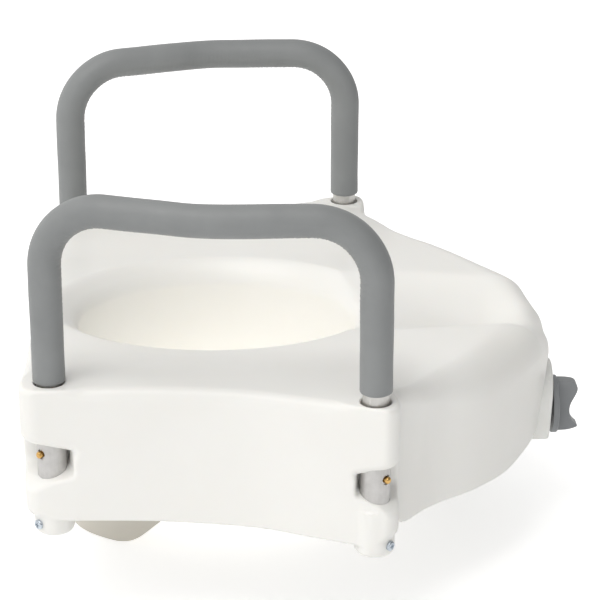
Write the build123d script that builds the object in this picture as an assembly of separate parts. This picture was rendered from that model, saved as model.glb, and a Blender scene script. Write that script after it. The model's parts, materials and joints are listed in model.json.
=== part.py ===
from build123d import *
import math
import os

# Raised toilet seat with removable arms and a front clamp, in millimetres.
# +Z is up and z = 0 is the plane of the toilet's rim. The sitter faces -Y.
# x = 0 is the middle plane. y = 0 is midway between the front and rear arm sockets.

# ---- driving dimensions ----
SEAT_TOP = 137.0  # top of the side panels, above the rim
WALL = 4.0
PANEL_BOTTOM = -2.5
BOSS_BOTTOM = 1.5  # of the solid corners round the legs
NOSE_BOTTOM = -10.0
REAR_Y = 181.5
PANEL_FRONT_Y = -175.0
SIDE_X = 247.0  # side panels at the rear
FLARE_X = 301.0  # and at their front corners
NOSE_FLAT_Y = -350.0
NOSE_FLAT_HALF = 38.0

OPENING_Y = -6.0  # middle of the oval opening
OPENING_A = 109.0  # half width at its rim
OPENING_B = 144.0  # half length at its rim
OPENING_RIM_Z = 110.0
FUNNEL_TAPER = 6.0  # how much narrower each half axis is at the bottom
DISH_WIDTH = 1.18  # outer edge of the dished band over the opening's rim
DISH_DEPTH = 17.0
SHOULDER_Z = 127.0  # seating surface beside the dish, 5 inches over the rim

NOSE_PLAN = [(220, -188), (192, -216), (170, -248), (144, -278), (110, -307), (72, -333)]

SADDLE_IN = 130.0  # the saddle's low part ends here
SADDLE_OUT = 218.0  # and the raised sides begin here
CREST_X = 80.0  # crests on both sides of the front trough
TROUGH_Z = 93.0
NOSE_ROUND = 42.0  # rounding along the nose's sides
TIP_ROUND = 34.0  # rounding across its tip

LEG_Y = 152.5  # legs are 12 inches apart
REAR_LEG_X = 224.0
FRONT_LEG_X = 280.0
ARM_R = 12.7
ARM_WALL = 1.2
ARM_BAR_Z = 313.0
ARM_CORNER_R = 60.0
ARM_LOW_Z = 12.0
GRIP_R = 15.75
SLEEVE_R = 14.3
RUN_GAP = 0.05  # radial clearance of the arm in its sleeve
SLEEVE_LOW_Z = -14.5
SLEEVE_TOP_Z = 126.0

BUTTON_Z = 61.0  # of the front legs
BUTTON_R = 3.4
BUTTON_TIP = 18.5  # distance of the button's tip from the leg's axis
BUTTON_HOLE_R = 5.0  # in the sleeve
WINDOW_LOW_Z = 41.5
WINDOW_TOP_Z = 74.0  # of the front legs
WINDOW_SLOPE = 0.85  # fall of the window's floor, outward
REAR_RISE = 5.0  # the rear legs' buttons and windows sit this much higher

CAP_R = 19.3
CAP_LOW_Z = -18.5
FOOT_SCREW_Z = -6.0
FOOT_SCREW_R = 2.2

SCREW_Z = 5.5  # axis of the clamp screw
SCREW_R = 5.0
PLATE_FRONT_Y = -356.0
KNOB_Y = -357.0
KNOB_R = 30.5
ROD_END_Y = -158.0
JAW_REAR_Y = -159.0
JAW_THICK = 13.0
JAW_HALF = 20.0
GUIDE_GAP = 0.3
NUT_HALF = 8.5
NUT_THICK = 7.0
ROD_HEAD_Y = -372.0
PLATE_SCREW_X = 22.0
PLATE_SCREW_Z = 30.0
GUARD_SCREW_R = 2.0
TONGUE_A = 85.0  # half axes of the splash guard's oval at the tongue's lower edge
TONGUE_B = 157.0
TONGUE_LOW_Z = -117.0
REST_RING = (160.0, 171.0)  # half axes of the oval wall over the toilet's rim
PAD_HIGH = 4.0

LEGS = [
    (side * x, y)
    for side in (1, -1)
    for x, y in ((REAR_LEG_X, LEG_Y), (FRONT_LEG_X, -LEG_Y))
]


def outward(leg):
    """Plan angle, in degrees, in which a leg's button and foot screw point."""
    x, y = leg
    return math.degrees(math.atan2(math.copysign(1, y), math.copysign(1, x)))


def rise(leg):
    """How much higher this leg's button and window sit than a front leg's."""
    return REAR_RISE if leg[1] > 0 else 0.0


# ---- seat shell ----


def half_outline(inset):
    """The plan edge for x > 0, from the rear to the nose's flat front, moved inward by inset."""
    rear_corner, front_corner = 16 - inset, 13 - inset
    side_x, rear_y = SIDE_X - inset, REAR_Y - inset
    front_y = PANEL_FRONT_Y + inset
    flare = (FLARE_X - inset, front_y + front_corner)
    side = Spline(
        (side_x, rear_y - rear_corner), (side_x, 60), (258 - inset, -30), flare,
        tangents=[(0, -1), (0.27, -1)],
    )
    front_end = (flare[0] - front_corner, front_y)
    nose_in = (-0.7 * inset, 0.7 * inset)
    moved = [(x + nose_in[0], y + nose_in[1]) for x, y in NOSE_PLAN]
    nose = Spline(
        (260, front_y - 1), *moved, (NOSE_FLAT_HALF - inset / 2, NOSE_FLAT_Y + inset),
        tangents=[(-1, -0.02), (-1, -0.35)],
    )
    return [
        Line((0, rear_y), (side_x - rear_corner, rear_y)),
        RadiusArc((side_x - rear_corner, rear_y), side @ 0, rear_corner),
        side,
        TangentArc(side @ 1, front_end, tangent=side % 1),
        Line(front_end, nose @ 0),
        nose,
        Line(nose @ 1, (0, NOSE_FLAT_Y + inset)),
    ]


def plan_face(inset):
    right = half_outline(inset)
    left = [edge.mirror(Plane.YZ) for edge in right]
    return make_face(Wire(right + left))


def saddle_air(drop):
    """The space over the saddle that runs from front to rear between the raised sides."""
    high, low, far = SEAT_TOP - drop, SHOULDER_Z - drop, 340
    curve = [
        Line((-far, high), (-SADDLE_OUT, high)),
        Spline((-SADDLE_OUT, high), (-SADDLE_IN, low), tangents=[(1, 0), (1, 0)]),
        Line((-SADDLE_IN, low), (SADDLE_IN, low)),
        Spline((SADDLE_IN, low), (SADDLE_OUT, high), tangents=[(1, 0), (1, 0)]),
        Line((SADDLE_OUT, high), (far, high)),
    ]
    frame = [Line((far, high), (far, high + 90)), Line((far, high + 90), (-far, high + 90)),
             Line((-far, high + 90), (-far, high))]
    return extrude(Plane.XZ * make_face(Wire(curve + frame)), 400, both=True)


def trough_air(drop):
    """The space of the trough along the nose, between its two crests."""
    high, low, up = SHOULDER_Z + 1 - drop, TROUGH_Z - drop, 60
    floor = Spline((-CREST_X, high), (0, low), (CREST_X, high), tangents=[(1, -0.7), (1, 0.7)])
    walls = [Line((CREST_X, high), (CREST_X, high + up)), Line((CREST_X, high + up), (-CREST_X, high + up)),
             Line((-CREST_X, high + up), (-CREST_X, high))]
    length = 260
    slice_up = extrude(Plane.XZ * make_face(Wire([floor, *walls])), length)
    return Pos(0, OPENING_Y - OPENING_B + 20, 0) * slice_up


def rounding_air(radius, length, drop):
    """What a rounding takes off a top edge that runs along X, with the solid on the +Y side."""
    top, out, up = SHOULDER_Z - drop, 60, 60
    bulge = radius * (1 - math.sqrt(0.5))
    arc = ThreePointArc((radius, top), (bulge, top - bulge), (0, top - radius))
    corner = Polyline((0, top - radius), (-out, top - radius), (-out, top + up), (radius, top + up),
                      (radius, top))
    return extrude(Plane.YZ * make_face(Wire([arc, *corner.edges()])), length / 2, both=True)


def nose_air(drop):
    """The roundings along both sides of the nose and across its tip."""
    tip = Pos(0, NOSE_FLAT_Y + drop, 0) * rounding_air(TIP_ROUND, 200, drop)
    airs = [tip]
    for first, last in ((0, 2), (2, 5)):
        start, end = Vector(*NOSE_PLAN[first]), Vector(*NOSE_PLAN[last])
        middle, run = (start + end) / 2, start - end
        turn = math.degrees(math.atan2(run.Y, run.X))
        side = Pos(0, drop, 0) * rounding_air(NOSE_ROUND, run.length + 60, drop)
        right = Pos(middle.X, middle.Y, 0) * Rot(0, 0, turn) * side
        airs += [right, right.mirror(Plane.YZ)]
    return airs


def block_under_top(inset, low):
    """The plan edge, moved inward, carried up from low to the upper surface."""
    block = Pos(0, 0, low) * extrude(plan_face(inset), SEAT_TOP + 20 - low)
    for air in [saddle_air(inset), trough_air(inset), *nose_air(inset)]:
        block -= air
    return block


def oval(a, b, z):
    return Plane.XY.offset(z) * Pos(0, OPENING_Y) * Ellipse(a, b)


def funnel(extra):
    """The tapering space of the opening, wider by extra all round."""
    slope = FUNNEL_TAPER / OPENING_RIM_Z

    def at(z):
        grow = extra - FUNNEL_TAPER + slope * z
        return oval(OPENING_A + grow, OPENING_B + grow, z)

    return loft([at(0), at(OPENING_RIM_Z + 50)], ruled=True)


def dish(extra):
    """The sloping band round the opening's rim, widened and lowered by extra."""
    top_z = SHOULDER_Z + 20
    widen = (DISH_WIDTH - 1) * (top_z - OPENING_RIM_Z) / DISH_DEPTH
    a, b = OPENING_A + extra, OPENING_B + extra
    low = oval(a, b, OPENING_RIM_Z - extra)
    high = oval(a * (1 + widen), b * (1 + widen), top_z)
    return loft([low, high], ruled=True)


def corner_box(leg, low, high):
    """A square column round a leg's socket, out to beyond the panel's corner."""
    x, y = leg
    reach, back = 60, 24
    middle = (reach - back) / 2
    centre = (x + math.copysign(middle, x), y + math.copysign(middle, y))
    return Pos(*centre, (low + high) / 2) * Box(reach + back, reach + back, high - low)


def corner_block(leg):
    """Solid corner of a side panel that holds a leg's socket."""
    return corner_box(leg, BOSS_BOTTOM, SEAT_TOP + 30)


def window_cut(leg):
    """The pocket in a corner that shows the sleeve, with a floor that slopes down to its lip."""
    depth, half_width, behind = 50, 27, 3
    top_z = WINDOW_TOP_Z + rise(leg)
    profile = Plane.XZ * Polyline(
        (-behind, WINDOW_LOW_Z), (SLEEVE_R, WINDOW_LOW_Z),
        (depth, WINDOW_LOW_Z - WINDOW_SLOPE * (depth - SLEEVE_R)), (depth, top_z), (-behind, top_z),
        close=True,
    )
    pocket = extrude(make_face(profile), half_width, both=True)
    return Pos(*leg) * Rot(0, 0, outward(leg)) * pocket


def socket_bore(leg):
    counterbore = GRIP_R + 0.8
    bore = Cylinder(SLEEVE_R + RUN_GAP, 400)
    rim = Pos(0, 0, SLEEVE_TOP_Z + 0.5 + 25) * Cylinder(counterbore, 50)
    return Pos(*leg) * (bore + rim)


def rest_ring():
    """The oval wall under the seat that stands on the rest pads."""
    ring = Ellipse(*REST_RING) - Ellipse(REST_RING[0] - WALL, REST_RING[1] - WALL)
    return Pos(0, OPENING_Y, PAD_HIGH) * extrude(ring, SEAT_TOP + 30)


def jaw_guides():
    """Two ribs under the trough that the clamp jaw slides between."""
    length, low, high = 150, 25, 175
    x = JAW_HALF + GUIDE_GAP + WALL / 2
    y = JAW_REAR_Y + 1 - length / 2
    return [Pos(s * x, y, (low + high) / 2) * Box(WALL, length, high - low) for s in (1, -1)]


def jaw_room():
    """The gap in the front of the rest ring that the jaw travels through."""
    half_x, low, high, depth = JAW_HALF + GUIDE_GAP, -34, 46, 40
    return Pos(0, JAW_REAR_Y - depth / 2 - 2, (low + high) / 2) * Box(2 * half_x, depth, high - low)


def guard_screw_places():
    """Frames of the three screws that hold the splash guard, pointing outward."""
    z = 7.0
    side = OPENING_A - FUNNEL_TAPER
    rear = OPENING_Y + OPENING_B - FUNNEL_TAPER
    return [
        Plane((side, OPENING_Y, z), z_dir=(1, 0, 0)),
        Plane((-side, OPENING_Y, z), z_dir=(-1, 0, 0)),
        Plane((0, rear, z), z_dir=(0, 1, 0)),
    ]


def screw_line():
    """The clamp screw's axis, as a frame that looks forward from y = 0."""
    return Plane((0, 0, SCREW_Z), z_dir=(0, -1, 0))


def rod(radius, from_y, to_y):
    """A round bar on the clamp screw's axis."""
    return screw_line() * Pos(0, 0, -(from_y + to_y) / 2) * Cylinder(radius, abs(from_y - to_y))


def below_panels():
    """The space under the side panels, which end higher than the nose does."""
    front_y, rear_y, deep = PANEL_FRONT_Y - 8, REAR_Y + 100, 60
    return Pos(0, (front_y + rear_y) / 2, PANEL_BOTTOM - deep / 2) * Box(700, rear_y - front_y, deep)


def make_seat_shell():
    hollow = block_under_top(WALL, NOSE_BOTTOM - 10)
    hollow += below_panels()
    inside = [funnel(WALL), dish(WALL), rest_ring(), *jaw_guides(), *map(corner_block, LEGS)]
    for filled in inside:
        hollow -= filled
    body = block_under_top(0, NOSE_BOTTOM) - hollow - funnel(0) - dish(0) - jaw_room()
    for leg in LEGS:
        body -= corner_box(leg, PANEL_BOTTOM - 20, BOSS_BOTTOM)
        body = body - window_cut(leg) - socket_bore(leg)
    for place in guard_screw_places():
        body -= place * Cylinder(GUARD_SCREW_R, 20)
    body -= rod(SCREW_R + 1, NOSE_FLAT_Y - 5, NOSE_FLAT_Y + 20)
    for x in (-PLATE_SCREW_X, PLATE_SCREW_X):
        body -= Pos(x, NOSE_FLAT_Y, PLATE_SCREW_Z) * Rot(90, 0, 0) * Cylinder(2.1, 20)
    return body


# ---- parts under the seat ----


def make_splash_guard():
    """An oval skirt inside the funnel, with a deep tongue at the rear that leans back."""
    low, high, gap, thick = -12, 13, 0.6, 3
    a, b = OPENING_A - FUNNEL_TAPER - gap, OPENING_B - FUNNEL_TAPER - gap

    def level(inset):
        """The skirt's upper part, then the part that narrows and leans back below it."""
        top = oval(a - inset, b - inset, low)
        foot = oval(TONGUE_A - inset, TONGUE_B - inset, TONGUE_LOW_Z - 3)
        return extrude(top, high - low) + loft([top, foot], ruled=True)

    edge = Spline((72, -102), (105, TONGUE_LOW_Z), tangents=[(1, -1), (1, 0)])
    outline = Polyline((105, TONGUE_LOW_Z), (240, TONGUE_LOW_Z), (240, high), (-240, high), (-240, low),
                       (-14, low), (72, -102))
    side = Plane.YZ * make_face(Wire([edge, *outline.edges()]))
    guard = (level(0) - level(thick)) & extrude(side, 200, both=True)
    for place in guard_screw_places():
        guard -= place * Cylinder(GUARD_SCREW_R, 20)
    return guard


def make_guard_screws():
    """Screws through the funnel wall into the splash guard, heads outside."""
    head_r, head_long, shank = 4.0, 2.4, 8.0
    screws = []
    for place in guard_screw_places():
        body = Pos(0, 0, WALL - shank / 2 + 1.4) * Cylinder(GUARD_SCREW_R - 0.1, shank)
        head = Pos(0, 0, WALL + 0.9 + head_long / 2) * Cylinder(head_r, head_long)
        screws.append(place * (body + head))
    return screws


def make_rest_pads():
    """Rubber pads between the rest ring and the toilet's rim."""
    a, b = REST_RING[0] + 3, REST_RING[1] + 3
    ring = Pos(0, OPENING_Y) * extrude(Ellipse(a, b) - Ellipse(a - 10, b - 10), PAD_HIGH)
    pads = []
    for angle in (40, 140, 220, 320):
        x, y = a * math.cos(math.radians(angle)), b * math.sin(math.radians(angle))
        pads.append(ring & (Pos(x, y + OPENING_Y, PAD_HIGH / 2) * Box(60, 60, PAD_HIGH)))
    return pads


# ---- sockets and feet ----


def make_socket_sleeves():
    """Metal tubes that line the sockets, each with a hole for its button."""
    length = SLEEVE_TOP_Z - SLEEVE_LOW_Z
    sleeves = []
    for leg in LEGS:
        tube = Pos(0, 0, SLEEVE_LOW_Z + length / 2) * Cylinder(SLEEVE_R, length)
        tube -= Cylinder(ARM_R + RUN_GAP, 600)
        tube -= Pos(10, 0, BUTTON_Z + rise(leg)) * Rot(0, 90, 0) * Cylinder(BUTTON_HOLE_R, 20)
        tube -= Pos(10, 0, FOOT_SCREW_Z) * Rot(0, 90, 0) * Cylinder(FOOT_SCREW_R, 20)
        sleeves.append(Pos(*leg) * Rot(0, 0, outward(leg)) * tube)
    return sleeves


def make_foot_caps():
    """Moulded cups that close the lower ends of the sleeves."""
    height = BOSS_BOTTOM - CAP_LOW_Z
    round_r = 6
    caps = []
    for leg in LEGS:
        cup = Pos(0, 0, CAP_LOW_Z + height / 2) * Cylinder(CAP_R, height)
        cup = fillet(cup.edges().sort_by(Axis.Z)[0], round_r)
        cup -= Pos(0, 0, SLEEVE_LOW_Z + 50) * Cylinder(SLEEVE_R, 100)
        cup -= Pos(15, 0, FOOT_SCREW_Z) * Rot(0, 90, 0) * Cylinder(FOOT_SCREW_R, 20)
        caps.append(Pos(*leg) * Rot(0, 0, outward(leg)) * cup)
    return caps


def make_foot_screws():
    """Pan-head screws through the caps into the sleeves."""
    head_r, head_long, tip = 4.8, 3.0, 10.5
    screws = []
    for leg in LEGS:
        shank_long = CAP_R - tip
        shank = Pos(tip + shank_long / 2, 0) * Rot(0, 90, 0) * Cylinder(FOOT_SCREW_R - 0.1, shank_long)
        head = Pos(CAP_R + head_long / 2, 0) * Rot(0, 90, 0) * Cylinder(head_r, head_long)
        head = fillet(head.edges().sort_by(Axis.X)[-1], 1.6)
        head -= Pos(CAP_R + head_long, 0) * Box(2, 1.1, 5)
        head -= Pos(CAP_R + head_long, 0) * Box(2, 5, 1.1)
        place = Pos(leg[0], leg[1], FOOT_SCREW_Z) * Rot(0, 0, outward(leg))
        screws.append(place * (shank + head))
    return screws


# ---- arms ----


def arm_path(rear_z, front_z):
    """Centre line of the arm for x > 0, from its rear leg over the bar to its front leg."""
    bar_front = FRONT_LEG_X - 5.5
    corners = [
        (REAR_LEG_X, LEG_Y, rear_z),
        (REAR_LEG_X, LEG_Y, ARM_BAR_Z),
        (bar_front, 4, ARM_BAR_Z),
        (bar_front, -LEG_Y, ARM_BAR_Z),
        (FRONT_LEG_X, -LEG_Y, SEAT_TOP + 40),
        (FRONT_LEG_X, -LEG_Y, front_z),
    ]
    corners = [Vector(*c) for c in corners]
    radii = [0, ARM_CORNER_R, 160, ARM_CORNER_R, 500, 0]
    edges, last = [], corners[0]
    for k in range(1, len(corners) - 1):
        back = (corners[k - 1] - corners[k]).normalized()
        ahead = (corners[k + 1] - corners[k]).normalized()
        half = math.radians(back.get_angle(ahead)) / 2
        reach = radii[k] / math.tan(half)
        start, end = corners[k] + back * reach, corners[k] + ahead * reach
        inward = (back + ahead).normalized()
        middle = corners[k] + inward * (radii[k] / math.sin(half) - radii[k])
        edges += [Line(last, start), ThreePointArc(start, middle, end)]
        last = end
    edges.append(Line(last, corners[-1]))
    return Wire(edges)


def pipe(path, outer_r, inner_r):
    ring = Circle(outer_r) - Circle(inner_r)
    return sweep(Plane(path @ 0, z_dir=path % 0) * ring, path=path)


def both_arms(left_piece):
    return {"left": left_piece, "right": left_piece.mirror(Plane.YZ)}


def make_arm_tube():
    tube = pipe(arm_path(ARM_LOW_Z, ARM_LOW_Z), ARM_R, ARM_R - ARM_WALL)
    for leg in LEGS[:2]:
        place = Pos(leg[0], leg[1], BUTTON_Z + rise(leg)) * Rot(0, 0, outward(leg))
        tube -= place * Pos(10, 0) * Rot(0, 90, 0) * Cylinder(BUTTON_R + 0.1, 20)
    return tube


def make_arm_grip():
    """Foam sleeve over the arm, down to just above both sockets."""
    rear_gap, front_gap = 0.6, 9.0
    return pipe(arm_path(SEAT_TOP + rear_gap, SEAT_TOP + front_gap), GRIP_R, ARM_R + RUN_GAP)


def make_snap_button(leg):
    """Domed button with a flange that stays inside the arm's tube."""
    flange_r, flange_at, flange_long = 4.5, 8.8, 1.4
    dome_from = BUTTON_TIP - BUTTON_R * 0.7
    stem = Pos(0, 0, (flange_at + dome_from) / 2) * Cylinder(BUTTON_R, dome_from - flange_at)
    dome = Pos(0, 0, dome_from) * scale(Sphere(BUTTON_R), by=(1, 1, 0.7))
    flange = Pos(0, 0, flange_at + flange_long / 2) * Cylinder(flange_r, flange_long)
    button = stem + dome + flange
    place = Pos(leg[0], leg[1], BUTTON_Z + rise(leg)) * Rot(0, 0, outward(leg))
    return place * Rot(0, 90, 0) * button


def make_snap_spring(leg):
    """Bent strip inside the arm's tube that pushes the button outward."""
    thick, half_width, reach, top, bend = 0.8, 4.0, 8.7, 6.0, -32.0
    legs = [
        Pos(s * (reach - thick / 2), 0, (top + bend) / 2) * Box(thick, 2 * half_width, top - bend)
        for s in (1, -1)
    ]
    ring = Plane.XZ * (Circle(reach) - Circle(reach - thick))
    bow = Pos(0, 0, bend) * extrude(ring, half_width, both=True)
    bow -= Pos(0, 0, bend + 20) * Box(40, 40, 40)
    place = Pos(leg[0], leg[1], BUTTON_Z + rise(leg)) * Rot(0, 0, outward(leg))
    return place * (bow + legs[0] + legs[1])


# ---- front clamp ----


def make_front_plate():
    """Arched cover plate on the nose that the knob turns against."""
    half, low, high, edge_r = 36, -21, 56, 3.0
    arch = Pos(0, high - low - half) * Circle(half)
    body = Rectangle(2 * half, high - low - half, align=(Align.CENTER, Align.MIN))
    outline = body + arch
    thick = NOSE_FLAT_Y - PLATE_FRONT_Y
    plate = extrude(Plane((0, NOSE_FLAT_Y, low), x_dir=(1, 0, 0), z_dir=(0, -1, 0)) * outline, thick)
    plate = fillet(plate.faces().sort_by(Axis.Y)[0].edges(), edge_r)
    plate -= rod(SCREW_R + RUN_GAP, PLATE_FRONT_Y - 5, NOSE_FLAT_Y + 5)
    hole_deep = 5.0
    for x in (-PLATE_SCREW_X, PLATE_SCREW_X):
        plate -= Pos(x, NOSE_FLAT_Y - hole_deep / 2, PLATE_SCREW_Z) * Rot(90, 0, 0) * Cylinder(2.0, hole_deep)
    return plate


def make_plate_screws():
    """Screws from inside the nose that hold the front plate."""
    head_r, head_long, shank = 4.0, 2.6, 8.5
    inside_y = NOSE_FLAT_Y + WALL
    screws = []
    for x in (-PLATE_SCREW_X, PLATE_SCREW_X):
        body = Pos(0, inside_y - shank / 2, 0) * Rot(90, 0, 0) * Cylinder(1.9, shank)
        head = Pos(0, inside_y + head_long / 2, 0) * Rot(90, 0, 0) * Cylinder(head_r, head_long)
        screws.append(Pos(x, 0, PLATE_SCREW_Z) * (body + head))
    return screws


def make_clamp_knob():
    """Round flange with a tall wing that the hand turns."""
    flange_long, wing_half_x, foot_half, tip_half, tip_y, waist = 6.0, 7.0, 28.0, 26.5, -384.0, 7.0
    flange = rod(KNOB_R, KNOB_Y, KNOB_Y - flange_long)
    flange = fillet(flange.edges().sort_by(Axis.Y)[0], 1.5)
    start_y = KNOB_Y - flange_long + 0.5
    round_y = tip_y + 5
    upper = Spline((start_y, foot_half), (round_y, tip_half), tangents=[(-1, 0), (-1, -0.3)])
    outline = [
        upper,
        Spline(upper @ 1, (tip_y, tip_half - 5), (tip_y + waist, 0), (tip_y, 5 - tip_half),
               (round_y, -tip_half), tangents=[(-1, -0.3), (1, -0.3)]),
        Spline((round_y, -tip_half), (start_y, -foot_half), tangents=[(1, -0.3), (1, 0)]),
        Line((start_y, -foot_half), (start_y, foot_half)),
    ]
    wing = extrude(Plane.YZ * make_face(Wire(outline)), wing_half_x, both=True)
    knob = flange + Pos(0, 0, SCREW_Z) * wing
    return knob - rod(SCREW_R, KNOB_Y + 1, ROD_HEAD_Y)


def make_clamp_screw():
    """Threaded rod, drawn as a plain bar, moulded into the knob."""
    return rod(SCREW_R, ROD_HEAD_Y, ROD_END_Y)


def make_screw_collar():
    """Push-on ring behind the nose wall that keeps the rod from coming out."""
    ring_y = NOSE_FLAT_Y + WALL + 0.5
    return rod(10, ring_y, ring_y + 4) - rod(SCREW_R, ring_y - 1, ring_y + 5)


def make_clamp_jaw():
    """Block that slides in the guides, with a plate that reaches inside the toilet's rim."""
    front_y = JAW_REAR_Y - JAW_THICK
    high, low, half_plate, plate_top = 44.0, -42.0, 30.0, 2.0
    block = Pos(0, front_y + JAW_THICK / 2, (high + low) / 2) * Box(2 * JAW_HALF, JAW_THICK, high - low)
    plate = Pos(0, front_y + 4, (plate_top + low) / 2) * Box(2 * half_plate, 8, plate_top - low)
    plate = fillet(plate.edges().filter_by(Axis.Y).group_by(Axis.Z)[0], 8)
    jaw = block + plate
    jaw -= rod(SCREW_R + 0.6, front_y - 5, JAW_REAR_Y + 5)
    return jaw - nut_space(0.1)


def nut_space(extra):
    """The square nut's room in the rear of the jaw."""
    half, thick = NUT_HALF + extra, NUT_THICK + 0.5
    return Pos(0, JAW_REAR_Y - thick / 2 + 0.5, SCREW_Z) * Box(2 * half, thick, 2 * half)


def make_jaw_nut():
    nut = Pos(0, JAW_REAR_Y - NUT_THICK / 2, SCREW_Z) * Box(2 * NUT_HALF, NUT_THICK, 2 * NUT_HALF)
    return nut - rod(SCREW_R + RUN_GAP, JAW_REAR_Y - 20, JAW_REAR_Y + 5)


def make_jaw_pad():
    """Rubber facing that presses forward on the inside of the rim."""
    front_y, thick, high, low, half = JAW_REAR_Y - JAW_THICK, 4.0, -6.0, -40.0, 26.0
    pad = Pos(0, front_y - thick / 2, (high + low) / 2) * Box(2 * half, thick, high - low)
    return fillet(pad.edges().filter_by(Axis.Y), 6)


def save(name, shape):
    if isinstance(shape, list):
        shape = Compound(children=[s for piece in shape for s in piece.solids()])
    export_step(shape, f"parts/{name}.step")


os.makedirs("parts", exist_ok=True)
save("seat_shell", make_seat_shell())
save("splash_guard", make_splash_guard())
save("guard_screws", make_guard_screws())
save("rest_pads", make_rest_pads())
save("socket_sleeves", make_socket_sleeves())
save("foot_caps", make_foot_caps())
save("foot_screws", make_foot_screws())
for side, piece in both_arms(make_arm_tube()).items():
    save(f"{side}_arm_tube", piece)
for side, piece in both_arms(make_arm_grip()).items():
    save(f"{side}_arm_grip", piece)
for leg in LEGS:
    corner = ("left" if leg[0] > 0 else "right") + ("_rear" if leg[1] > 0 else "_front")
    save(f"{corner}_snap_button", make_snap_button(leg))
    save(f"{corner}_snap_spring", make_snap_spring(leg))
save("front_plate", make_front_plate())
save("plate_screws", make_plate_screws())
save("clamp_knob", make_clamp_knob())
save("clamp_screw", make_clamp_screw())
save("screw_collar", make_screw_collar())
save("clamp_jaw", make_clamp_jaw())
save("jaw_nut", make_jaw_nut())
save("jaw_pad", make_jaw_pad())
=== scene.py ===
"""Looks of the raised toilet seat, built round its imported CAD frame.

Fields and shapes are worked out in millimetres, in the frame's axes, and meshes are written in metres.
"""

import json
import math

import bpy
import numpy as np
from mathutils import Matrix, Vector


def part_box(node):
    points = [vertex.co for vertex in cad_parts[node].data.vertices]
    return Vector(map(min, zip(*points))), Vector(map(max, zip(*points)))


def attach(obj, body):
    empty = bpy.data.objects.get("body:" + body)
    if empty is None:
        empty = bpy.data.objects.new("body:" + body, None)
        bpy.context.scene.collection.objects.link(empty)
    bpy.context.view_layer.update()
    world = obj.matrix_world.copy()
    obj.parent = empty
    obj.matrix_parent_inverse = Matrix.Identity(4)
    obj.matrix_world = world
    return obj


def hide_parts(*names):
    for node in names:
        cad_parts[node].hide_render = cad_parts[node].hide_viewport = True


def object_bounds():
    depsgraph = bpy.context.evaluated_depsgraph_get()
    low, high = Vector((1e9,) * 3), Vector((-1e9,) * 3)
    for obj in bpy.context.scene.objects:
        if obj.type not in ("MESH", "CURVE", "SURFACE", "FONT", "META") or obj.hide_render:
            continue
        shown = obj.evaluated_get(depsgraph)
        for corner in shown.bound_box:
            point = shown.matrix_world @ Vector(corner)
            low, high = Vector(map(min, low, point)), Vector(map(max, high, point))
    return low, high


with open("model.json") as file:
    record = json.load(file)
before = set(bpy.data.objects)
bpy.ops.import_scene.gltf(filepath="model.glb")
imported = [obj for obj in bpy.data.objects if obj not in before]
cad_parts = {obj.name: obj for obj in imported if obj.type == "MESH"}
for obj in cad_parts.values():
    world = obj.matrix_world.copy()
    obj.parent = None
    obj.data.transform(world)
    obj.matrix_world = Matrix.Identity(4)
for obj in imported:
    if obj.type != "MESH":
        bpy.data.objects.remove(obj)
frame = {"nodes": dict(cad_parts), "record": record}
cad_low, cad_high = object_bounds()

MM = 0.001


def box_mm(node):
    low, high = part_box(node)
    return np.array(low) / MM, np.array(high) / MM


# ---- driving sizes, from the frame where it holds them ----

shell_low, shell_high = box_mm("seat_shell")
plate_low, plate_high = box_mm("front_plate")
SEAT_TOP = shell_high[2]
SHOULDER = SEAT_TOP - 10.0  # seating surface beside the opening
REAR_Y = shell_high[1]
NOSE_Y = shell_low[1]
SIDE_X = 247.0
FLARE_X = 301.0
PANEL_FRONT_Y = -175.0
NOSE_FLAT_HALF = 38.0
PANEL_BOTTOM = -2.5
BOSS_BOTTOM = 1.5
NOSE_BOTTOM = -10.0
WALL = 4.0

OPENING = np.array([0.0, -6.0])
OPENING_A, OPENING_B = 109.0, 144.0
OPENING_RIM = 110.0
FUNNEL_TAPER = 6.0
RIM_DROP = 17.0
RIM_R = 9.0  # rounding of the opening's rim
TOP_R = 11.0  # rounding of the side panels' top edges
CREST_X = 80.0  # crests beside the nose's trough
REST_RING = (160.0, 171.0)
PAD_HIGH = 4.0
JAW_ROOM = 20.3  # half the gap that the clamp's jaw slides in
SCREW_Z = 5.5

LEG_Y = 152.5
REAR_LEG_X, FRONT_LEG_X = 224.0, 280.0
ARM_R = 12.7
GRIP_R = 15.75
SLEEVE_R = 14.3
SLEEVE_LOW = -14.5
SLEEVE_TOP = 126.0
BORE_R = 14.36
MOUTH_R = 14.7
LIP_R = 1.5
ARM_BAR_Z = 313.0
ARM_CORNER_R = 60.0
CUP_R = 19.3
CUP_LOW = -18.5
WINDOW_FLOOR = 36.5
WINDOW_TOP = 68.5
REAR_RISE = 5.0

BODY_CELL = 2.5
HOLLOW_CELL = 4.5  # coarser than the 4 mm walls of the rest ring, which come out broken
HOLLOW_LOW = -32.0
SHELL_FACES = 160_000


# ---- small maths ----


def smooth(t):
    t = np.clip(t, 0.0, 1.0)
    return t * t * (3 - 2 * t)


def round_max(a, b, r):
    """Intersection of two solids whose shared edge is rounded with radius r."""
    inner = np.minimum(np.maximum(a, b), -r)
    return inner + np.hypot(np.maximum(a + r, 0), np.maximum(b + r, 0))


def round_min(a, b, r):
    """Union of two solids with a fillet of radius r between them."""
    return -round_max(-a, -b, r)


def oval_distance(x, y, a, b):
    """Close to the distance from an oval's edge, negative inside."""
    u, v = (x - OPENING[0]), (y - OPENING[1])
    k0 = np.hypot(u / a, v / b)
    k1 = np.hypot(u / a**2, v / b**2)
    return k0 * (k0 - 1) / np.maximum(k1, 1e-9)


def arc_points(centre, radius, start, end, count=10):
    angles = np.radians(np.linspace(start, end, count))
    return [(centre[0] + radius * math.cos(t), centre[1] + radius * math.sin(t)) for t in angles]


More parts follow.
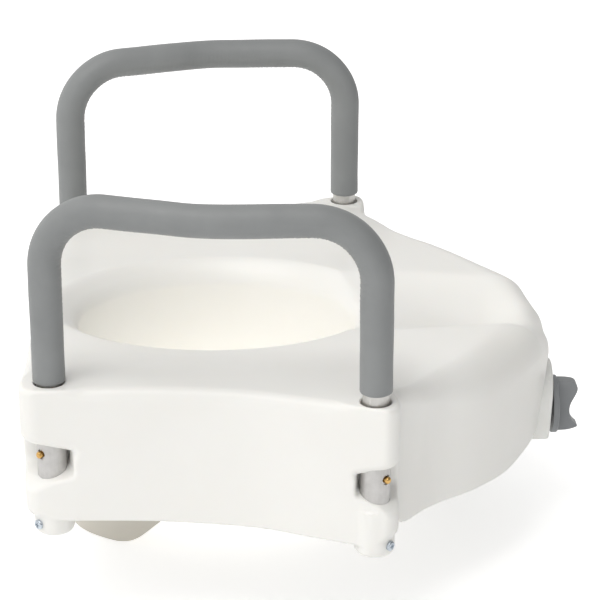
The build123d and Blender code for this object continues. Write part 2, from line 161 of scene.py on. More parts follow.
def curve_through(points, steps=14):
    """Points along a smooth curve through the given ones."""
    p = np.array(points, float)
    p = np.vstack([2 * p[0] - p[1], p, 2 * p[-1] - p[-2]])
    out = []
    for k in range(1, len(p) - 2):
        t = np.linspace(0, 1, steps, endpoint=False)[:, None]
        a, b, c, d = p[k - 1], p[k], p[k + 1], p[k + 2]
        out.append(0.5 * (2 * b + (c - a) * t + (2 * a - 5 * b + 4 * c - d) * t**2
                          + (3 * b - a - 3 * c + d) * t**3))
    return [*map(tuple, np.vstack(out)), tuple(p[-2])]


# ---- plan edge of the seat ----


def plan_edge():
    """The plan edge for x > 0, from the middle of the rear to the middle of the nose's tip."""
    rear_r, front_r = 18.0, 15.0
    side = curve_through([
        (SIDE_X, REAR_Y - rear_r), (SIDE_X, 110), (SIDE_X + 0.8, 40), (258, -30), (277.5, -90),
        (289.5, -125), (FLARE_X - 0.5, PANEL_FRONT_Y + front_r),
    ])
    nose = curve_through([
        (FLARE_X - front_r, PANEL_FRONT_Y), (255, PANEL_FRONT_Y - 1.5), (220, -189), (192, -216),
        (170, -248), (144, -278), (110, -307), (72, -333), (NOSE_FLAT_HALF, NOSE_Y + 3),
        (NOSE_FLAT_HALF - 12, NOSE_Y), (0, NOSE_Y),
    ])
    return np.array([
        (0, REAR_Y),
        *arc_points((SIDE_X - rear_r, REAR_Y - rear_r), rear_r, 90, 0),
        *side,
        *arc_points((FLARE_X - front_r, PANEL_FRONT_Y + front_r), front_r, 0, -90),
        *nose,
    ])


def blurred(grid, sigma):
    reach = int(3 * sigma)
    kernel = np.exp(-0.5 * (np.arange(-reach, reach + 1) / sigma) ** 2)
    kernel /= kernel.sum()
    for axis in (0, 1):
        pad = [(reach, reach) if k == axis else (0, 0) for k in (0, 1)]
        padded = np.pad(grid, pad, mode="edge")
        length = grid.shape[axis]
        grid = sum(w * np.take(padded, range(k, k + length), axis) for k, w in enumerate(kernel))
    return grid


class PlanDistance:
    """Distance to the plan edge on a fine grid, negative inside, with its corners softened."""

    STEP = 1.0
    LOW = np.array([-12.0, -385.0])
    HIGH = np.array([335.0, 212.0])

    def __init__(self):
        xs = np.arange(self.LOW[0], self.HIGH[0], self.STEP)
        ys = np.arange(self.LOW[1], self.HIGH[1], self.STEP)
        edge = plan_edge()
        best = np.full((len(xs), len(ys)), 1e9)
        inside = np.zeros((len(xs), len(ys)), bool)
        gx, gy = np.meshgrid(np.abs(xs), ys, indexing="ij")
        for (ax, ay), (bx, by) in zip(edge[:-1], edge[1:]):
            run = np.array([bx - ax, by - ay])
            length2 = max(run @ run, 1e-9)
            t = np.clip(((gx - ax) * run[0] + (gy - ay) * run[1]) / length2, 0, 1)
            best = np.minimum(best, (gx - ax - t * run[0]) ** 2 + (gy - ay - t * run[1]) ** 2)
            if ay != by:
                crosses = (gy < max(ay, by)) & (gy >= min(ay, by))
                inside ^= crosses & (gx < ax + (gy - ay) * run[0] / run[1])
        signed = np.where(inside, -1, 1) * np.sqrt(best)
        self.grid = blurred(signed, 2.2)

    def __call__(self, x, y):
        u = np.clip((np.abs(x) - self.LOW[0]) / self.STEP, 0, self.grid.shape[0] - 1.001)
        v = np.clip((y - self.LOW[1]) / self.STEP, 0, self.grid.shape[1] - 1.001)
        i, j = u.astype(int), v.astype(int)
        s, t = u - i, v - j
        g = self.grid
        low = g[i, j] * (1 - s) + g[i + 1, j] * s
        high = g[i, j + 1] * (1 - s) + g[i + 1, j + 1] * s
        return low * (1 - t) + high * t


# ---- the seat's shape as a field: negative inside, close to a distance in mm ----


def upper_surface(x, y):
    """Height of the top: raised sides, a dish round the opening, a trough along the nose."""
    _, _, leg_r, _, _ = on_leg(x, y)
    x = np.abs(x)
    behind_nose, round_socket = smooth((y + 207) / 60), smooth((36 - leg_r) / 16)
    rise = (SEAT_TOP - SHOULDER) * smooth((x - 128) / 92) * np.maximum(behind_nose, round_socket)
    rho = np.hypot(x / OPENING_A, (y - OPENING[1]) / OPENING_B)
    dish = RIM_DROP * (1 - smooth((rho - 0.97) / 0.24))
    deep = RIM_DROP + 14 * smooth((-y - 150) / 120) - 14 * smooth((-y - 280) / 60)
    crest_x = CREST_X - 13 * smooth((-y - 180) / 120)
    bowl = 1 - (x / crest_x) ** 2
    soft_bowl = 0.5 * (bowl + np.sqrt(bowl**2 + 0.012))
    trough = deep * soft_bowl * smooth((-y - 70) / 75)
    hollow = (dish**4 + trough**4) ** 0.25
    return SHOULDER + rise - hollow


def on_leg(x, y):
    """Place relative to the nearest leg: outward on the diagonal, across it, and distance."""
    x = np.abs(x)
    front = y < 0
    dx = x - np.where(front, FRONT_LEG_X, REAR_LEG_X)
    dy = np.where(front, -LEG_Y - y, y - LEG_Y)
    root = math.sqrt(0.5)
    return (dx + dy) * root, (dy - dx) * root, np.hypot(dx, dy), dx, dy


def upper_level(x, y, z):
    """Close to the distance over the upper surface."""
    step = 0.5
    height = upper_surface(x, y)
    across = (upper_surface(x + step, y) - height) / step
    along = (upper_surface(x, y + step) - height) / step
    return (z - height) / np.sqrt(1 + across**2 + along**2)


def skin_field(x, y, z):
    """Sides, top and opening, without end below: the walls run along its inside."""
    rear_tuck = 3.0 * smooth((70 - z) / 60) * smooth((y - 130) / 40)
    belly = smooth((-y - 160) / 25) * (1 - smooth((-y - 230) / 130)) * (1 - smooth((np.abs(x) - 222) / 34))
    nose_swell = (10 + 6 * np.clip(z / 110, -0.1, 1)) * belly
    tip_lean = 9 * np.clip(1 - z / 90, 0, 2) * smooth((-y - 290) / 45)
    plan = plan_distance(x, y) + rear_tuck - nose_swell + tip_lean
    _, _, leg_r, _, _ = on_leg(x, y)
    nose = smooth((-y - 165) / 120)
    tip = smooth((-y - 285) / 45)
    top_r = TOP_R + nose * (33 - 6 * tip) - 7.5 * smooth((40 - leg_r) / 18)
    body = round_max(plan, upper_level(x, y, z), top_r)
    opening = oval_distance(x, y, OPENING_A, OPENING_B) + FUNNEL_TAPER * (1 - z / OPENING_RIM)
    return round_max(body, -opening, RIM_R)


def on_corner(leg_r):
    return smooth((50 - leg_r) / 26)


def ribs_field(x, y, z):
    """What the hollow leaves standing: the rest ring, the jaw's guides, the sockets and their cups."""
    ring = np.abs(oval_distance(x, y, *REST_RING) + WALL / 2) - WALL / 2
    ring = np.maximum(ring, PAD_HIGH - z)
    jaw_gap = np.maximum(np.maximum(np.abs(x) - JAW_ROOM, y + 150), z - 46)
    ring = np.maximum(ring, -jaw_gap)
    guide = np.maximum(np.abs(np.abs(x) - JAW_ROOM - WALL / 2) - WALL / 2, np.abs(y + 233) - 75)
    guide = np.maximum(guide, 25 - z)
    _, _, leg_r, dx, dy = on_leg(x, y)
    block = np.maximum(np.maximum(-24 - dx, -24 - dy), BOSS_BOTTOM - z)
    cup_room = np.maximum(leg_r - CUP_R - 2, z - 20)
    return np.minimum(np.minimum(ring, guide), np.minimum(block, cup_room))


def pocket_field(x, y, z):
    """The window round a corner: side walls square to the panel, a floor that falls outward."""
    out, _, _, dx, dy = on_leg(x, y)
    rear = (y > 0) * REAR_RISE
    wall = 16.5
    on_side = round_max(-9 - dx, -(wall + 0.24 * np.maximum(dx, 0)) - dy, 2.0)
    on_end = round_max(-9 - dy, -(wall + 0.24 * np.maximum(dy, 0)) - dx, 2.0)
    beyond = out - SLEEVE_R
    fall = 0.36 * np.minimum(beyond, 0) + 0.8 * np.maximum(beyond, 0)
    floor = (WINDOW_FLOOR + rear - fall - z) * 0.85
    ceiling = (z - WINDOW_TOP - rear - 0.3 * out) * 0.95
    pocket = round_max(np.minimum(on_side, on_end), floor, 4.5)
    return round_max(pocket, ceiling, 2.0)


def body_field(x, y, z):
    """The seat with its window, sockets and cups, but not yet hollow."""
    skin = skin_field(x, y, z)
    _, _, leg_r, _, dy = on_leg(x, y)
    corner = on_corner(leg_r) * smooth((dy + 6) / 22)
    fall = PANEL_BOTTOM + 3.5 * smooth((y + 30) / 180) - 4.0 * smooth((-y - 30) / 120)
    low = fall + (NOSE_BOTTOM - fall) * smooth((-y - 176) / 12)
    low = low + (BOSS_BOTTOM - low) * corner * smooth((y + 182) / 4)
    body = round_max(skin, low - z, 2.0 + 8.0 * corner)
    cup = round_max(leg_r - CUP_R, CUP_LOW - z, 7.0)
    body = round_min(body, np.maximum(cup, z - 30), 2.5)
    upper_edge = 3.0 + 5.0 * smooth((z - 60) / 12)
    body = round_max(body, -pocket_field(x, y, z), upper_edge)
    clamp_hole = np.maximum(np.hypot(x, z - SCREW_Z) - 6.0, y + 300)
    return np.maximum(body, -clamp_hole)


def mouth_radius(z):
    """Radius of a socket over its sleeve, opening out in a rounded lip at the top."""
    up = np.clip(z - SEAT_TOP + LIP_R, 0, LIP_R)
    return MOUTH_R + LIP_R - np.sqrt(LIP_R**2 - up**2)


def bore_field(x, y, z):
    """The round socket of the nearest leg, wider over its sleeve."""
    _, _, leg_r, _, _ = on_leg(x, y)
    bore = np.maximum(leg_r - BORE_R, SLEEVE_LOW - z)
    return np.minimum(bore, np.maximum(leg_r - mouth_radius(z), SLEEVE_TOP + 1 - z))


def hollow_field(x, y, z):
    """The space inside the walls, carried on below the seat."""
    space = round_max(skin_field(x, y, z) + WALL, -ribs_field(x, y, z), 3.0)
    return np.maximum(space, HOLLOW_LOW - z)


# ---- a mesh from a field ----


def gradient(field, p, step=0.35):
    out = np.empty_like(p)
    for axis in range(3):
        move = np.zeros(3)
        move[axis] = step
        out[:, axis] = (field(*(p + move).T) - field(*(p - move).T)) / (2 * step)
    return out


def field_mesh(field, low, high, cell):
    """Corner points and quads of the field's zero surface, moved exactly onto it."""
    half = np.arange(cell / 2, high[0] + 2 * cell, cell)
    axes = [np.concatenate([-half[::-1], half])]
    axes += [np.arange(a - 2 * cell, b + 2 * cell, cell) for a, b in zip(low[1:], high[1:])]
    shape = [len(a) for a in axes]
    values = np.empty(shape)
    gx, gy = np.meshgrid(half, axes[1], indexing="ij")
    for k, z in enumerate(axes[2]):
        right = field(gx.ravel(), gy.ravel(), np.full(gx.size, z)).reshape(gx.shape)
        values[:, :, k] = np.concatenate([right[::-1], right])
    inside = values < 0
    total = np.zeros([n - 1 for n in shape] + [3])
    hits = np.zeros([n - 1 for n in shape])
    index = np.indices(shape).transpose(1, 2, 3, 0).astype(float)
    crossings = []
    for axis in range(3):
        ahead = tuple(slice(1, None) if k == axis else slice(None) for k in range(3))
        here = tuple(slice(None, -1) if k == axis else slice(None) for k in range(3))
        cross = inside[here] != inside[ahead]
        crossings.append(cross)
        va, vb = values[here], values[ahead]
        share = np.where(cross, va / np.where(cross, va - vb, 1), 0)
        place = index[here].copy()
        place[..., axis] += share
        others = [k for k in range(3) if k != axis]
        for s in (0, 1):
            for t in (0, 1):
                pick = [slice(None)] * 3
                pick[others[0]] = slice(s, shape[others[0]] - 1 + s)
                pick[others[1]] = slice(t, shape[others[1]] - 1 + t)
                pick = tuple(pick)
                total += np.where(cross[pick][..., None], place[pick], 0)
                hits += cross[pick]
    active = hits > 0
    number = np.full(active.shape, -1)
    number[active] = np.arange(active.sum())
    start = np.array([a[0] for a in axes])
    points = start + cell * total[active] / hits[active][:, None]
    quads = []
    for axis in range(3):
        b, c = (axis + 1) % 3, (axis + 2) % 3
        cross = crossings[axis]
        i = np.argwhere(cross)
        keep = np.all((i[:, [b, c]] > 0) & (i[:, [b, c]] < np.array(shape)[[b, c]] - 1), axis=1)
        i = i[keep]
        step_b, step_c = np.eye(3, dtype=int)[b], np.eye(3, dtype=int)[c]
        corners = [i - step_b - step_c, i - step_c, i, i - step_b]
        quad = np.stack([number[tuple(q.T)] for q in corners], axis=1)
        flip = inside[tuple(i.T)]
        quad[~flip] = quad[~flip][:, ::-1]
        quads.append(quad)
    for _ in range(4):
        slope = gradient(field, points)
        size2 = np.maximum((slope**2).sum(1), 0.05)
        move = (field(*points.T) / size2)[:, None] * slope
        length = np.linalg.norm(move, axis=1, keepdims=True)
        points -= move * np.minimum(1, 0.5 * cell / np.maximum(length, 1e-9))
    return points, np.vstack(quads)


def new_mesh(name, points, faces, material):
    """An object from points in mm."""
    mesh = bpy.data.meshes.new(name)
    points = np.asarray(points, float) * MM
    faces = np.asarray(faces)
    mesh.vertices.add(len(points))
    mesh.vertices.foreach_set("co", points.ravel())
    width = faces.shape[1]
    mesh.loops.add(faces.size)
    mesh.loops.foreach_set("vertex_index", faces.ravel().astype(np.int32))
    mesh.polygons.add(len(faces))
    mesh.polygons.foreach_set("loop_start", np.arange(0, faces.size, width, dtype=np.int32))
    mesh.polygons.foreach_set("loop_total", np.full(len(faces), width, np.int32))
    mesh.polygons.foreach_set("use_smooth", np.ones(len(faces), bool))
    mesh.update(calc_edges=True)
    mesh.validate()
    obj = bpy.data.objects.new(name, mesh)
    bpy.context.scene.collection.objects.link(obj)
    mesh.materials.append(material)
    return obj


def apply_modifier(obj, modifier):
    bpy.context.view_layer.objects.active = obj
    for other in bpy.context.selected_objects:
        other.select_set(False)
    obj.select_set(True)
    bpy.ops.object.modifier_apply(modifier=modifier.name)


def thinned(obj, faces):
    """Fewer triangles, where the surface is flat."""
    obj.data.calc_loop_triangles()
    count = len(obj.data.loop_triangles)
    if count > faces:
        modifier = obj.modifiers.new("thin", "DECIMATE")
        modifier.ratio = faces / count
        apply_modifier(obj, modifier)
        obj.data.shade_smooth()


def cut_away(obj, tool):
    """Takes the tool's solid out of the object's."""
    modifier = obj.modifiers.new("cut", "BOOLEAN")
    modifier.operation = "DIFFERENCE"
    modifier.solver = "MANIFOLD"
    modifier.object = tool
    apply_modifier(obj, modifier)
    bpy.data.objects.remove(tool)
    obj.data.shade_smooth()


def unit_gradient(field, points):
    slope = gradient(field, points, 0.6)
    return slope / np.maximum(np.linalg.norm(slope, axis=1, keepdims=True), 1e-9)


def bore_tool(leg_x, leg_y):
    """A turned solid that clears one socket."""
    profile = [(SLEEVE_LOW, BORE_R), (SLEEVE_TOP + 1, BORE_R), (SLEEVE_TOP + 1, MOUTH_R)]
    lip = SEAT_TOP - LIP_R * (1 - np.sin(np.linspace(0, math.pi / 2, 6)))
    profile += [(z, float(mouth_radius(z))) for z in lip] + [(SEAT_TOP + 20, MOUTH_R + LIP_R)]
    around = 96
    turn = np.linspace(0, 2 * math.pi, around, endpoint=False)
    points = [(leg_x + r * math.cos(t), leg_y + r * math.sin(t), z) for z, r in profile for t in turn]
    points += [(leg_x, leg_y, profile[0][0]), (leg_x, leg_y, profile[-1][0])]
    below, above = len(points) - 2, len(points) - 1
    top = (len(profile) - 1) * around
    faces = []
    for i in range(around):
        j = (i + 1) % around
        faces += [(below, j, i), (above, top + i, top + j)]
        for start in range(0, top, around):
            a, b, c, d = start + i, start + j, start + around + j, start + around + i
            faces += [(a, b, c), (a, c, d)]
    return new_mesh("bore", points, faces, WHITE)


def normals_from_fields(obj, fields):
    """Shading that follows signed fields: each face takes the one whose surface it lies on."""
    mesh = obj.data
    points = np.empty(len(mesh.vertices) * 3)
    mesh.vertices.foreach_get("co", points)
    points = points.reshape(-1, 3) / MM
    corner_point = np.empty(len(mesh.loops), np.int32)
    mesh.loops.foreach_get("vertex_index", corner_point)
    totals = np.empty(len(mesh.polygons), np.int32)
    mesh.polygons.foreach_get("loop_total", totals)
    centres = np.empty(len(mesh.polygons) * 3)
    mesh.polygons.foreach_get("center", centres)
    centres = centres.reshape(-1, 3) / MM
    near = np.argmin([np.abs(field(*centres.T)) for field, _ in fields], axis=0)
    normals = np.zeros((len(corner_point), 3))
    for k, (field, sign) in enumerate(fields):
        mine = np.repeat(near == k, totals)
        normals[mine] = sign * unit_gradient(field, points)[corner_point[mine]]
    mesh.normals_split_custom_set(normals)


# ---- materials ----


def shader(name):
    material = bpy.data.materials.new(name)
    material.use_nodes = True
    nodes, links = material.node_tree.nodes, material.node_tree.links
    return material, nodes, links, nodes["Principled BSDF"]


def place_node(nodes):
    """Object-space position: nodes sit at the origin, so it is the place in the frame."""
    coordinates = nodes.new("ShaderNodeTexCoord")
    return coordinates.outputs["Object"]


def noise(nodes, links, place, scale, detail=4.0, roughness=0.5):
    texture = nodes.new("ShaderNodeTexNoise")
    texture.inputs["Scale"].default_value = scale
    texture.inputs["Detail"].default_value = detail
    texture.inputs["Roughness"].default_value = roughness
    links.new(place, texture.inputs["Vector"])
    return texture.outputs["Fac"]


def ramp(nodes, links, value, stops):
    node = nodes.new("ShaderNodeValToRGB")
    elements = node.color_ramp.elements
    while len(elements) < len(stops):
        elements.new(0.5)
    for element, (position, colour) in zip(elements, stops):
        element.position = position
        element.color = (*colour, 1) if len(colour) == 3 else colour
    links.new(value, node.inputs["Fac"])
    return node.outputs["Color"]


def ranged(nodes, links, value, low, high, from_low=0.0, from_high=1.0):
    node = nodes.new("ShaderNodeMapRange")
    node.inputs["From Min"].default_value = from_low
    node.inputs["From Max"].default_value = from_high
    node.inputs["To Min"].default_value = low
    node.inputs["To Max"].default_value = high
    links.new(value, node.inputs["Value"])
    return node.outputs["Result"]


def bump(nodes, links, height, strength, distance, below=None):
    node = nodes.new("ShaderNodeBump")
    node.inputs["Strength"].default_value = strength
    node.inputs["Distance"].default_value = distance
    links.new(height, node.inputs["Height"])
    if below is not None:
        links.new(below, node.inputs["Normal"])
    return node.outputs["Normal"]


def moulded_plastic(name, light, dark, rough, grain=1.0, glow=0.06):
    """Moulded plastic: slow colour drift, fine grain, faint waviness and rubbed patches."""
    material, nodes, links, surface = shader(name)
    place = place_node(nodes)
    drift = noise(nodes, links, place, 7.0, 3.0)
    links.new(ramp(nodes, links, drift, [(0.3, dark), (0.7, light)]), surface.inputs["Base Color"])
    rub = noise(nodes, links, place, 38.0, 6.0, 0.65)
    links.new(ranged(nodes, links, rub, rough - 0.06, rough + 0.08, 0.3, 0.7), surface.inputs["Roughness"])
    waves = bump(nodes, links, noise(nodes, links, place, 22.0, 2.0), 0.18 * grain, 0.0012)
    fine = bump(nodes, links, noise(nodes, links, place, 1500.0, 3.0), 0.10 * grain, 0.0002, waves)
    links.new(fine, surface.inputs["Normal"])
    surface.inputs["Subsurface Weight"].default_value = glow
    surface.inputs["Subsurface Radius"].default_value = (0.012, 0.009, 0.006)
    surface.inputs["Subsurface Scale"].default_value = 0.4
    surface.inputs["Specular IOR Level"].default_value = 0.45
    return material


def foam(name):
    """Closed-cell foam with a rubbed skin."""
    material, nodes, links, surface = shader(name)
    place = place_node(nodes)
    drift = noise(nodes, links, place, 14.0, 4.0)
    colour = ramp(nodes, links, drift, [(0.3, (0.213, 0.222, 0.224)), (0.72, (0.256, 0.266, 0.268))])
    links.new(colour, surface.inputs["Base Color"])
    wear = noise(nodes, links, place, 60.0, 5.0, 0.6)
    links.new(ranged(nodes, links, wear, 0.46, 0.62, 0.3, 0.7), surface.inputs["Roughness"])
    cells = nodes.new("ShaderNodeTexVoronoi")
    cells.inputs["Scale"].default_value = 1100.0
    links.new(place, cells.inputs["Vector"])
    pores = bump(nodes, links, cells.outputs["Distance"], 0.28, 0.0003)
    skin = bump(nodes, links, noise(nodes, links, place, 260.0, 4.0), 0.22, 0.0005, pores)
    links.new(skin, surface.inputs["Normal"])
    surface.inputs["Sheen Weight"].default_value = 0.12
    surface.inputs["Sheen Roughness"].default_value = 0.45
    return material


def metal(name, light, dark, rough, along=(1.0, 1.0, 1.0), brush=0.12, metallic=1.0):
    """Metal with drawing or turning marks, a dulling film and small stains."""
    material, nodes, links, surface = shader(name)
    place = place_node(nodes)
    stretch = nodes.new("ShaderNodeMapping")
    stretch.inputs["Scale"].default_value = along
    links.new(place, stretch.inputs["Vector"])
    lines = noise(nodes, links, stretch.outputs["Vector"], 900.0, 3.0)
    film = noise(nodes, links, place, 90.0, 5.0, 0.6)
    links.new(ramp(nodes, links, film, [(0.32, dark), (0.68, light)]), surface.inputs["Base Color"])
    links.new(ranged(nodes, links, lines, rough - 0.08, rough + 0.1, 0.3, 0.7), surface.inputs["Roughness"])
    links.new(bump(nodes, links, lines, brush, 0.0002), surface.inputs["Normal"])
    surface.inputs["Metallic"].default_value = metallic
    return material


def rubber(name):
    material, nodes, links, surface = shader(name)
    place = place_node(nodes)
    bloom = noise(nodes, links, place, 45.0, 5.0, 0.6)
    links.new(ramp(nodes, links, bloom, [(0.3, (0.03, 0.03, 0.03)), (0.7, (0.055, 0.055, 0.053))]),
              surface.inputs["Base Color"])
    links.new(ranged(nodes, links, bloom, 0.6, 0.8), surface.inputs["Roughness"])
    links.new(bump(nodes, links, noise(nodes, links, place, 900.0, 3.0), 0.2, 0.0003),
              surface.inputs["Normal"])
    return material


WHITE = moulded_plastic("white_plastic", (0.875, 0.87, 0.845), (0.85, 0.842, 0.81), 0.36)
# Splash guard: the seat's white plastic made darker and beige, as painted shade for the shade that falls
# under the seat
GUARD_WHITE_PAINTED_SHADE = moulded_plastic("guard_plastic", (0.70, 0.672, 0.60), (0.67, 0.64, 0.57), 0.42)
PLATE_WHITE = moulded_plastic("plate_plastic", (0.86, 0.86, 0.84), (0.83, 0.83, 0.80), 0.3, 0.6)
KNOB_GREY = moulded_plastic("knob_plastic", (0.25, 0.26, 0.27), (0.222, 0.232, 0.242), 0.4, 1.3, 0.0)
FOAM = foam("grip_foam")
ARM_METAL = metal("arm_metal", (0.64, 0.63, 0.61), (0.57, 0.56, 0.54), 0.34, (1, 1, 0.03), 0.04)
SLEEVE_METAL = metal("sleeve_metal", (0.62, 0.61, 0.60), (0.54, 0.53, 0.52), 0.45, (1, 1, 0.03), 0.04, 0.75)
BRASS = metal("button_brass", (0.80, 0.52, 0.20), (0.62, 0.36, 0.11), 0.24)
ZINC = metal("zinc_screw", (0.66, 0.72, 0.78), (0.42, 0.47, 0.53), 0.26)
STEEL = metal("steel", (0.62, 0.63, 0.65), (0.50, 0.51, 0.53), 0.34)
RUBBER = rubber("pad_rubber")

SLOT_MATERIALS = {
    "seat_plastic": WHITE, "guard_plastic": GUARD_WHITE_PAINTED_SHADE, "cap_plastic": PLATE_WHITE,
    "grip_foam": FOAM, "knob_plastic": KNOB_GREY, "jaw_plastic": PLATE_WHITE,
    "arm_metal": ARM_METAL, "sleeve_metal": SLEEVE_METAL, "button_brass": BRASS,
    "spring_steel": STEEL, "zinc_screw": ZINC, "screw_steel": STEEL, "pad_rubber": RUBBER,
}


def dress_cad_nodes():
    """Gives each carried-over CAD node the material of its slot."""
    slots = {s["node"]: s["material_slot"] for s in frame["record"]["subparts"]}
    for name, obj in frame["nodes"].items():
        for slot in obj.material_slots:
            slot.link = "OBJECT"
            slot.material = SLOT_MATERIALS[slots[name]]


# ---- pieces ----


def make_seat():
    low = shell_low.copy()
    low[2] = CUP_LOW
    seat = new_mesh("seat_body", *field_mesh(body_field, low, shell_high, BODY_CELL), WHITE)
    thinned(seat, SHELL_FACES)
    low[2] = HOLLOW_LOW - 2
    hollow = new_mesh("hollow", *field_mesh(hollow_field, low, shell_high, HOLLOW_CELL), WHITE)
    cut_away(seat, hollow)
    for side in (1, -1):
        cut_away(seat, bore_tool(side * REAR_LEG_X, LEG_Y))
        cut_away(seat, bore_tool(side * FRONT_LEG_X, -LEG_Y))
    normals_from_fields(seat, [(body_field, 1), (hollow_field, -1), (bore_field, -1)])
    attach(seat, "seat")
    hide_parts("seat_shell", "foot_caps")
    return seat


def arm_centre_line(rear_z, front_z, spacing=1.5):
    """Evenly spaced points along the left arm's centre line."""
    bar_front = FRONT_LEG_X - 5.5
    corners = [
        (REAR_LEG_X, LEG_Y, rear_z),
        (REAR_LEG_X, LEG_Y, ARM_BAR_Z),
        (bar_front, 4, ARM_BAR_Z),
        (bar_front, -LEG_Y, ARM_BAR_Z),
        (FRONT_LEG_X, -LEG_Y, SEAT_TOP + 40),
        (FRONT_LEG_X, -LEG_Y, front_z),
    ]
    radii = [0, ARM_CORNER_R, 160, ARM_CORNER_R, 500, 0]
    corners = [np.array(c, float) for c in corners]
    line = [corners[0]]
    bends = [np.zeros(3)]
    for k in range(1, len(corners) - 1):
        back = corners[k - 1] - corners[k]
        ahead = corners[k + 1] - corners[k]
        back, ahead = back / np.linalg.norm(back), ahead / np.linalg.norm(ahead)
        half = math.acos(np.clip(back @ ahead, -1, 1)) / 2
        reach = radii[k] / math.tan(half)
        middle = back + ahead
        middle /= np.linalg.norm(middle)
        centre = corners[k] + middle * radii[k] / math.sin(half)
        a, b = corners[k] + back * reach - centre, corners[k] + ahead * reach - centre
        sweep = math.pi - 2 * half
        for t in np.linspace(0, 1, 40):
            spot = (math.sin((1 - t) * sweep) * a + math.sin(t * sweep) * b) / math.sin(sweep)
            line.append(centre + spot)
            bends.append(-spot / radii[k] ** 2)
    line.append(corners[-1])
    bends.append(np.zeros(3))
    line, bends = np.array(line), np.array(bends)
    along = np.concatenate([[0], np.cumsum(np.linalg.norm(np.diff(line, axis=0), axis=1))])
    even = np.linspace(0, along[-1], int(along[-1] / spacing) + 1)
    line = np.stack([np.interp(even, along, line[:, k]) for k in range(3)], 1)
    bends = np.stack([np.interp(even, along, bends[:, k]) for k in range(3)], 1)
    return line, bends, even


def grip_mesh(side, around=56):
    """Foam tube with soft ends, and fine wrinkles on the inside of its bends."""
    line, bends, along = arm_centre_line(SEAT_TOP + 0.6, SEAT_TOP + 9.0)
    tangent = np.gradient(line, axis=0)
    tangent /= np.linalg.norm(tangent, axis=1, keepdims=True)
    across = np.zeros_like(line)
    across[0] = (1, 0, 0)
    for k in range(1, len(line)):
        across[k] = across[k - 1] - (across[k - 1] @ tangent[k]) * tangent[k]
        across[k] /= np.linalg.norm(across[k])
    third = np.cross(tangent, across)
    angle = np.linspace(0, 2 * math.pi, around, endpoint=False)
    ring = np.cos(angle)[None, :, None] * across[:, None] + np.sin(angle)[None, :, None] * third[:, None]
    inner_side = np.clip(np.einsum("kaj,kj->ka", ring, bends) * ARM_CORNER_R, 0, 1)
    s, t = along[:, None], angle[None, :]
    folds = (np.sin(s * 1.27 + 1.3 * np.sin(2 * t)) + 0.7 * np.sin(s * 1.83 + 2.1 * np.cos(t) + 1.0)
             + 0.5 * np.sin(s * 0.71 + 3 * t))
    swell = 0.12 * np.sin(s * 0.045 + 2 * t) + 0.08 * np.sin(s * 0.11 - t)
    radius = GRIP_R - 0.15 + swell - 0.34 * inner_side**1.5 * (folds * 0.5 + 0.5)
    end_r = 2.6
    from_end = np.minimum(along, along[-1] - along)
    tuck = end_r - np.sqrt(np.maximum(end_r**2 - np.maximum(end_r - from_end, 0) ** 2, 0))
    radius = radius - tuck[:, None]
    outside = line[:, None] + ring * radius[:, :, None]
    inside = line[:, None] + ring * (ARM_R + 0.05)
    points = np.concatenate([outside, inside[::-1]]).reshape(-1, 3)
    rows = 2 * len(line)
    row, column = np.meshgrid(np.arange(rows), np.arange(around), indexing="ij")
    row, column = row.ravel(), column.ravel()
    after, beside = (row + 1) % rows, (column + 1) % around
    faces = np.stack([row * around + column, row * around + beside,
                      after * around + beside, after * around + column], 1)
    if side == "right":
        points[:, 0] *= -1
        faces = faces[:, ::-1]
    return points, faces


def make_grips():
    for side in ("left", "right"):
        points, faces = grip_mesh(side)
        grip = new_mesh(f"{side}_foam_grip", points, faces, FOAM)
        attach(grip, f"{side}_arm")
        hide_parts(f"{side}_arm_grip")


def arch_outline(half, low, high, inset, steps=24):
    """The front plate's outline, moved inward: straight sides, a rounded arch and rounded lower corners."""
    r = half - inset
    corner_r = max(5.0 - inset, 0.5)
    top = arc_points((0, high - half), r, 0, 180, steps)
    left = arc_points((-r + corner_r, low + inset + corner_r), corner_r, 180, 270, 8)
    right = arc_points((r - corner_r, low + inset + corner_r), corner_r, 270, 360, 8)
    return top + left + right


def make_plate():
    """Front plate with softened edges, deep enough to meet the leaning nose, its face leaning back."""
    half, low, high = plate_high[0], plate_low[2], plate_high[2]
    front, edge_r, lean = plate_low[1], 3.5, 4.0
    buried_y = -332.0
    rings = [(buried_y, 0.0), (front + edge_r, 0.0)]
    rings += [(front + edge_r * (1 - math.sin(t)), edge_r * (1 - math.cos(t)))
              for t in np.linspace(0.2, math.pi / 2, 8)]
    rings += [(front, 10.0), (front, 22.0), (front, 30.0)]
    points = []
    for y, inset in rings:
        back = 0.0 if y == buried_y else lean / (high - low)
        points += [(x, y + back * (high - z), z) for x, z in arch_outline(half, low, high, inset)]
    count = len(points) // len(rings)
    faces = []
    for k in range(len(rings) - 1):
        for i in range(count):
            j = (i + 1) % count
            faces.append((k * count + i, k * count + j, (k + 1) * count + j, (k + 1) * count + i))
    plate = new_mesh("nose_plate", points, faces, PLATE_WHITE)
    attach(plate, "seat")
    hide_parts("front_plate")


# ---- studio ----


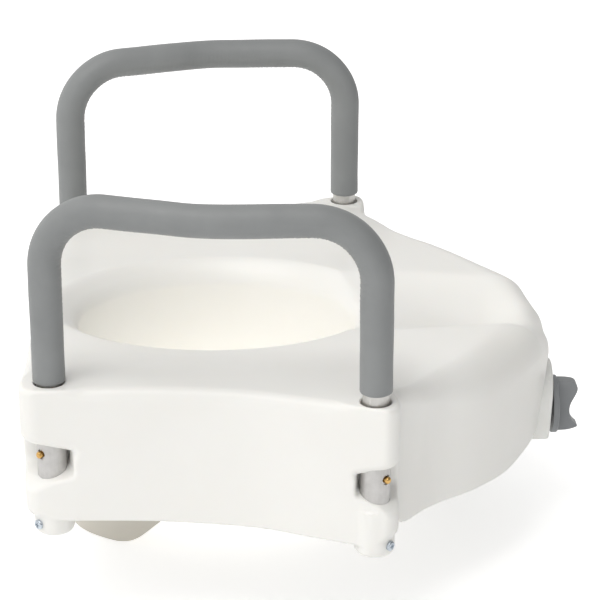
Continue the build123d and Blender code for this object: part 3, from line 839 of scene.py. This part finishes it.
def make_floor():
    """A wide pale floor just under the object."""
    size = 9.0
    mesh = bpy.data.meshes.new("floor")
    under = cad_low[2] - 0.001
    mesh.from_pydata([(-size, -size, under), (size, -size, under), (size, size, under), (-size, size, under)],
                     [], [(0, 1, 2, 3)])
    floor = bpy.data.objects.new("floor", mesh)
    bpy.context.scene.collection.objects.link(floor)
    material, nodes, links, surface = shader("floor_paper")
    place = place_node(nodes)
    tone = noise(nodes, links, place, 3.0, 3.0)
    links.new(ramp(nodes, links, tone, [(0.3, (0.90, 0.90, 0.90)), (0.7, (0.92, 0.92, 0.92))]),
              surface.inputs["Base Color"])
    surface.inputs["Roughness"].default_value = 0.9
    surface.inputs["Emission Color"].default_value = (1, 1, 1, 1)
    seen = nodes.new("ShaderNodeLightPath").outputs["Is Camera Ray"]
    links.new(ranged(nodes, links, seen, 0.2, 0.5), surface.inputs["Emission Strength"])
    mesh.materials.append(material)


def make_light(name, place, target, size, power, colour=(1, 1, 1)):
    data = bpy.data.lights.new(name, "AREA")
    data.size = size
    data.energy = power
    data.color = colour
    light = bpy.data.objects.new(name, data)
    bpy.context.scene.collection.objects.link(light)
    light.location = place
    light.rotation_mode = "QUATERNION"
    light.rotation_quaternion = (Vector(target) - Vector(place)).to_track_quat("-Z", "Y")
    return light


def make_studio():
    world = bpy.data.worlds.new("studio")
    bpy.context.scene.world = world
    world.use_nodes = True
    nodes, links = world.node_tree.nodes, world.node_tree.links
    background = nodes["Background"]
    direction = nodes.new("ShaderNodeSeparateXYZ")
    links.new(nodes.new("ShaderNodeTexCoord").outputs["Generated"], direction.inputs[0])
    side = ranged(nodes, links, direction.outputs["Y"], 0.22, 1.0, -0.8, 0.5)
    links.new(side, background.inputs["Strength"])
    background.inputs["Color"].default_value = (1.0, 0.995, 0.985, 1)
    make_floor()
    make_light("key", (-1.1, 0.7, 2.8), (0, 0, 0.1), 1.6, 33, (1.0, 0.985, 0.96))
    make_light("front_fill", (-2.2, -1.6, 1.2), (0, -0.1, 0.1), 1.8, 3, (0.97, 0.985, 1.0))
    make_light("bowl_fill", (0, 0, -0.07), (0, 0, 0.5), 0.16, 0.17, (1.0, 0.97, 0.9)).visible_camera = False
    bpy.context.scene.view_settings.view_transform = "Standard"
    bpy.context.scene.view_settings.look = "None"


def make_camera():
    """At the side of the seat, a little over it, through a long lens."""
    yaw, pitch = math.radians(-2.048), math.radians(21.782)
    data = bpy.data.cameras.new("camera")
    data.sensor_width = 36.0
    data.lens = 142.45
    camera = bpy.data.objects.new("camera", data)
    bpy.context.scene.collection.objects.link(camera)
    camera.location = (-2.2797, -0.0106, 1.0384)
    forward = Vector((math.cos(yaw) * math.cos(pitch), math.sin(yaw) * math.cos(pitch), -math.sin(pitch)))
    camera.rotation_mode = "QUATERNION"
    camera.rotation_quaternion = forward.to_track_quat("-Z", "Y")
    bpy.context.scene.camera = camera


plan_distance = PlanDistance()
dress_cad_nodes()
make_seat()
make_plate()
make_grips()
make_studio()
make_camera()
